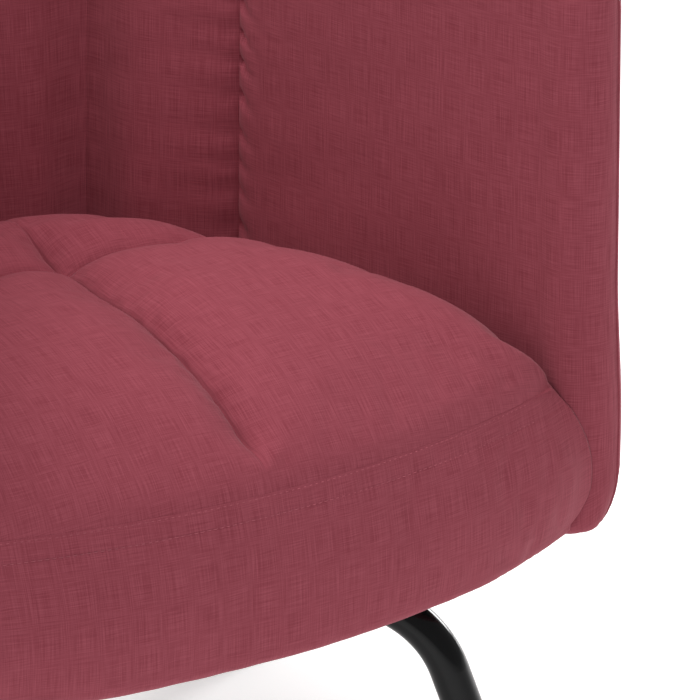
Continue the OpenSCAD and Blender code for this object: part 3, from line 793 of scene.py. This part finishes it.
def stitch_row(name, height, stitch=0.0034, gap=0.0014, radius=0.0003):
    """A row of thread stitches along the border at one height, as one mesh."""
    x = np.linspace(-1, 1, 1200) * (float(border_half(height)) - 0.034)
    y = border_face(x, height) + 0.0002
    path = np.stack([x, y + HUB_Y, np.full_like(x, height)], axis=-1)
    run = np.concatenate([[0], np.cumsum(np.linalg.norm(np.diff(path, axis=0), axis=1))])
    points, faces, uv = [], [], []
    sides = 6
    # how deep each ring of a stitch lies: its two ends go into the cloth
    sinks = (0.0006, 0.0001, 0, 0.0001, 0.0006)
    for start in np.arange(0, run[-1] - stitch, stitch + gap):
        places = start + np.linspace(0, stitch, len(sinks))
        spine = np.stack([np.interp(places, run, path[:, k]) for k in range(3)], axis=-1)
        faces += tube_faces(len(sinks), sides, len(points))
        for k, sink in enumerate(sinks):
            wide = radius * (0.6 if k in (0, 4) else 1)
            for i in range(sides):
                a = 2 * math.pi * i / sides
                points.append(spine[k] + [0, sink - wide * math.cos(a), wide * math.sin(a)])
                uv.append((places[k], i * radius))
    return clean(new_mesh(name, points, faces, uv), 1e-7)


# ---------------------------------------------------------------- materials
def new_material(name):
    material = bpy.data.materials.new(name)
    material.use_nodes = True
    nodes = material.node_tree.nodes
    return material, nodes, material.node_tree.links, nodes["Principled BSDF"]


def add_node(nodes, kind, **values):
    """A node with its inputs, or else its properties, set by name."""
    node = nodes.new(kind)
    for key, value in values.items():
        if key in node.inputs:
            node.inputs[key].default_value = value
        else:
            setattr(node, key, value)
    return node


def ramp(nodes, stops):
    """A colour ramp of places and colours."""
    node = nodes.new("ShaderNodeValToRGB")
    while len(node.color_ramp.elements) < len(stops):
        node.color_ramp.elements.new(0.5)
    for element, (place, colour) in zip(node.color_ramp.elements, stops):
        element.position = place
        element.color = (*colour, 1)
    return node


def stretched_noise(nodes, links, source, scale, detail=2.0, rough=0.5):
    """Noise stretched along one way of the cloth, by a scale for each axis."""
    mapping = add_node(nodes, "ShaderNodeMapping", Scale=scale)
    links.new(source, mapping.inputs["Vector"])
    noise = add_node(nodes, "ShaderNodeTexNoise", Scale=1.0, Detail=detail, Roughness=rough)
    links.new(mapping.outputs["Vector"], noise.inputs["Vector"])
    return noise.outputs["Fac"]


def tones(nodes, links, surface, source, stops):
    """Base colour from a noise, through a ramp of places and colours."""
    colours = ramp(nodes, stops)
    links.new(source, colours.inputs["Fac"])
    links.new(colours.outputs["Color"], surface.inputs["Base Color"])


def uneven_gloss(nodes, links, surface, source, low, high):
    """Roughness that follows a noise from low to high."""
    spread = add_node(nodes, "ShaderNodeMapRange", **{"To Min": low, "To Max": high})
    links.new(source, spread.inputs["Value"])
    links.new(spread.outputs["Result"], surface.inputs["Roughness"])


def relief(nodes, links, surface, source, strength, depth):
    """Bump from a noise."""
    bump = add_node(nodes, "ShaderNodeBump", Strength=strength, Distance=depth)
    links.new(source, bump.inputs["Height"])
    links.new(bump.outputs["Normal"], surface.inputs["Normal"])


def maths(nodes, links, operation, a, b):
    """A Math node of two values or sockets."""
    node = nodes.new("ShaderNodeMath")
    node.operation = operation
    for socket, value in zip(node.inputs, (a, b)):
        if isinstance(value, (int, float)):
            socket.default_value = value
        else:
            links.new(value, socket)
    return node.outputs[0]


def linen_material(name, shade, bright):
    """Slubbed linen: crossed threads of uneven thickness and shade, with a soft sheen."""
    material, nodes, links, surface = new_material(name)
    uv = add_node(nodes, "ShaderNodeUVMap", uv_map="cloth").outputs["UV"]
    warp = stretched_noise(nodes, links, uv, (1500, 34, 1), 1.0, 0.5)
    weft = stretched_noise(nodes, links, uv, (44, 1600, 1), 1.0, 0.5)
    slub = stretched_noise(nodes, links, uv, (760, 16, 1), 1.0, 0.5)
    cloud = stretched_noise(nodes, links, uv, (9, 7, 1), 2.0, 0.5)
    threads = maths(nodes, links, "ADD", warp, weft)
    mixed = maths(nodes, links, "ADD", maths(nodes, links, "MULTIPLY", threads, 0.42),
                  maths(nodes, links, "MULTIPLY", slub, 0.12))
    tone = maths(nodes, links, "ADD", mixed, maths(nodes, links, "MULTIPLY", cloud, 0.10))
    tones(nodes, links, surface, tone, [(0.40, shade), (0.70, bright)])
    relief(nodes, links, surface, mixed, 0.35, 0.0006)
    surface.inputs["Roughness"].default_value = 0.92
    surface.inputs["Specular IOR Level"].default_value = 0.12
    surface.inputs["Sheen Weight"].default_value = 0.12
    surface.inputs["Sheen Roughness"].default_value = 0.45
    surface.inputs["Sheen Tint"].default_value = (1.0, 0.72, 0.76, 1)
    return material


def object_coordinates(nodes):
    return add_node(nodes, "ShaderNodeTexCoord").outputs["Object"]


def paint_material(name, colour, roughness, texture=900.0, bump_depth=0.00005):
    """Powder coat or moulded plastic: faint orange peel and a slightly uneven gloss."""
    material, nodes, links, surface = new_material(name)
    place = object_coordinates(nodes)
    peel = stretched_noise(nodes, links, place, (texture,) * 3, 2.0)
    smear = stretched_noise(nodes, links, place, (14, 14, 14), 3.0)
    dark, pale = (tuple(min(1, c * k) for c in colour) for k in (0.8, 1.2))
    tones(nodes, links, surface, smear, [(0.3, dark), (0.7, pale)])
    uneven_gloss(nodes, links, surface, smear, roughness * 0.85, roughness * 1.2)
    relief(nodes, links, surface, peel, 0.3, bump_depth)
    surface.inputs["Specular IOR Level"].default_value = 0.2
    return material


def steel_material(name):
    """Zinc-plated steel with fine turning marks."""
    material, nodes, links, surface = new_material(name)
    place = object_coordinates(nodes)
    marks = stretched_noise(nodes, links, place, (60, 60, 2400), 2.0)
    tones(nodes, links, surface, marks, [(0.3, (0.48, 0.48, 0.47)), (0.7, (0.66, 0.66, 0.64))])
    uneven_gloss(nodes, links, surface, marks, 0.25, 0.5)
    surface.inputs["Metallic"].default_value = 1.0
    return material


def timber_material(name, pale, dark):
    """Sawn softwood: grain lines along the board and scattered pores."""
    material, nodes, links, surface = new_material(name)
    place = object_coordinates(nodes)
    grain = stretched_noise(nodes, links, place, (18, 18, 220), 4.0, 0.6)
    rings = stretched_noise(nodes, links, place, (6, 6, 45), 2.0, 0.5)
    tone = maths(nodes, links, "ADD", maths(nodes, links, "MULTIPLY", grain, 0.6),
                 maths(nodes, links, "MULTIPLY", rings, 0.4))
    tones(nodes, links, surface, tone, [(0.38, dark), (0.62, pale)])
    relief(nodes, links, surface, grain, 0.3, 0.0003)
    surface.inputs["Roughness"].default_value = 0.7
    return material


def felt_material(name, dark, pale):
    """Matted or non-woven fibres."""
    material, nodes, links, surface = new_material(name)
    place = object_coordinates(nodes)
    fibres = stretched_noise(nodes, links, place, (700, 700, 700), 4.0, 0.7)
    tones(nodes, links, surface, fibres, [(0.35, dark), (0.65, pale)])
    relief(nodes, links, surface, fibres, 0.5, 0.0005)
    surface.inputs["Roughness"].default_value = 0.95
    return material


def dress_frame(materials):
    """Gives every CAD node the material of its slot in the record."""
    for row in frame["record"]["subparts"]:
        node = frame["nodes"][row["node"]]
        node.data.materials.clear()
        node.data.materials.append(materials[row["material_slot"]])


def finish_cloth(obj, material):
    """Gives a piece of the upholstery its material and its body."""
    obj.data.materials.clear()
    obj.data.materials.append(material)
    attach(obj, "seat")


def finish_soft(obj, node, thickness=None):
    """Puts a padded piece in the place of its CAD solid."""
    if thickness:
        thicken(obj, thickness)
    finish_cloth(obj, LINEN)
    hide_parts(node)


# ---------------------------------------------------------------- studio
def studio_light(name, place, target, size, power, colour=(1, 1, 1)):
    """A round soft light, turned towards a target and hidden from the camera itself."""
    light = bpy.data.lights.new(name, "AREA")
    light.shape = "DISK"
    light.size = size
    light.energy = power
    light.color = colour
    obj = bpy.data.objects.new(name, light)
    bpy.context.scene.collection.objects.link(obj)
    obj.location = place
    obj.visible_camera = False
    obj.rotation_euler = (Vector(target) - Vector(place)).to_track_quat("-Z", "Y").to_euler()


def build_studio():
    """A pale floor that glows a little, a grey sky and four soft lights."""
    scene = bpy.context.scene
    scene.view_settings.view_transform = "Standard"
    far = 60
    floor_mesh = bpy.data.meshes.new("floor")
    corners = [(-far, -far, 0), (far, -far, 0), (far, far, 0), (-far, far, 0)]
    floor_mesh.from_pydata(corners, [], [(0, 1, 2, 3)])
    floor = bpy.data.objects.new("floor", floor_mesh)
    scene.collection.objects.link(floor)
    floor_material, _, _, surface = new_material("floor_white")
    surface.inputs["Base Color"].default_value = (0.93, 0.93, 0.93, 1)
    surface.inputs["Roughness"].default_value = 0.9
    surface.inputs["Specular IOR Level"].default_value = 0.1
    surface.inputs["Emission Color"].default_value = (1, 1, 1, 1)
    surface.inputs["Emission Strength"].default_value = 0.42
    floor_mesh.materials.append(floor_material)
    world = bpy.data.worlds.new("studio")
    scene.world = world
    world.use_nodes = True
    background = world.node_tree.nodes["Background"]
    background.inputs["Color"].default_value = (1, 1, 1, 1)
    background.inputs["Strength"].default_value = 0.36
    focus = (0.05, HUB_Y - 0.05, 0.45)
    studio_light("overhead", (0, 0, 3.0), focus, 1.5, 23)
    studio_light("key", (-1.15, 0.6, 2.75), focus, 1.1, 34, (1.0, 0.99, 0.98))
    studio_light("front", (0.2, -1.2, 2.8), focus, 1.2, 14)
    studio_light("floor_wash", (1.9, 0.5, 0.65), (0.5, -0.1, 0.0), 1.0, 29)


def build_camera():
    """The view from the chair's front left, close on the right arm and the seat's corner."""
    azimuth, elevation, distance = math.radians(-30), math.radians(24), 2.6
    target = Vector((0.1387, HUB_Y - 0.109, 0.4393))
    back = Vector((math.sin(azimuth) * math.cos(elevation),
                   -math.cos(azimuth) * math.cos(elevation), math.sin(elevation)))
    # the picture is 700 pixels wide, of 0.73 mm each at the target
    picture_width = 700 * 0.00073
    data = bpy.data.cameras.new("camera")
    data.sensor_width = 36
    data.lens = data.sensor_width * distance / picture_width
    data.clip_start, data.clip_end = 0.05, 200
    camera = bpy.data.objects.new("camera", data)
    bpy.context.scene.collection.objects.link(camera)
    camera.location = target + back * distance
    camera.rotation_euler = (-back).to_track_quat("-Z", "Y").to_euler()
    bpy.context.scene.camera = camera


build_camera()
build_studio()

LINEN = linen_material("linen", (0.232, 0.0415, 0.0585), (0.340, 0.077, 0.103))
THREAD = paint_material("thread", (0.40, 0.10, 0.13), 0.6)
MATERIALS = {
    "linen": LINEN,
    "black_paint": paint_material("black_paint", (0.004, 0.004, 0.0044), 0.13),
    "bare_steel": steel_material("bare_steel"),
    "nylon": paint_material("nylon", (0.72, 0.70, 0.64), 0.42),
    "rubber": paint_material("rubber", (0.025, 0.025, 0.025), 0.75, 500, 0.0002),
    "foot_plastic": paint_material("foot_plastic", (0.018, 0.018, 0.018), 0.5, 600, 0.0001),
    "timber": timber_material("timber", (0.66, 0.47, 0.27), (0.46, 0.29, 0.15)),
    "felt": felt_material("felt", (0.16, 0.14, 0.12), (0.34, 0.31, 0.27)),
    "dust_cloth": felt_material("dust_cloth", (0.012, 0.012, 0.012), (0.04, 0.04, 0.04)),
}
dress_frame(MATERIALS)

cushion = cushion_form("cushion_soft")
spots = points_of(cushion.data)
across, along = spots[:, 0], spots[:, 1] - HUB_Y
over = smooth_step((along + 0.23) / 0.03)
held = (
    held_near(across, 0.004) * over + held_near(along - GROOVE_Y, 0.004)
    + held_near(along - front_y(across), 0.010) + held_near(wall_distance(across, along), 0.02)
    + (spots[:, 2] < STITCH_Z - 0.002))
stuff(cushion, np.clip(held, 0, 1), swell=3.0, cap=0.003, slack=0.006)
finish_soft(cushion, "seat_cushion")

border = border_form("border_soft")
spots = points_of(border.data)
held = (
    held_near(spots[:, 2] - STITCH_Z, 0.004) + held_near(spots[:, 2] - BORDER_Z, 0.014)
    + held_near(spots[:, 2] - STITCH_Z + STITCH_GAP, 0.003)
    + smooth_step((spots[:, 1] - HUB_Y + 0.215) / 0.01))
stuff(border, np.clip(held, 0, 1), swell=2.0, cap=0.002, slack=0.004)
finish_soft(border, "seat_border")

for pad, form, fill in (("arm", arm_pad, 0.8), ("corner", corner_pad, 0.7)):
    for hand, mirror in (("right", False), ("left", True)):
        finish_soft(form(f"{pad}_soft_{hand}", mirror), f"{pad}_pad_{hand}", PAD_T)
finish_soft(back_pad("back_soft"), "back_pad", PAD_T)
finish_soft(outer_cover("outer_soft"), "outer_cover", COVER_T)

finish_cloth(welt_tube("rim_welt", rim_path(), 0.0012), LINEN)
finish_cloth(thicken(rail_wrap("rail_wrap"), CLOTH_T), LINEN)
finish_cloth(stitch_row("stitches_upper", STITCH_Z - 0.0016), THREAD)
finish_cloth(stitch_row("stitches_lower", STITCH_Z - STITCH_GAP), THREAD)
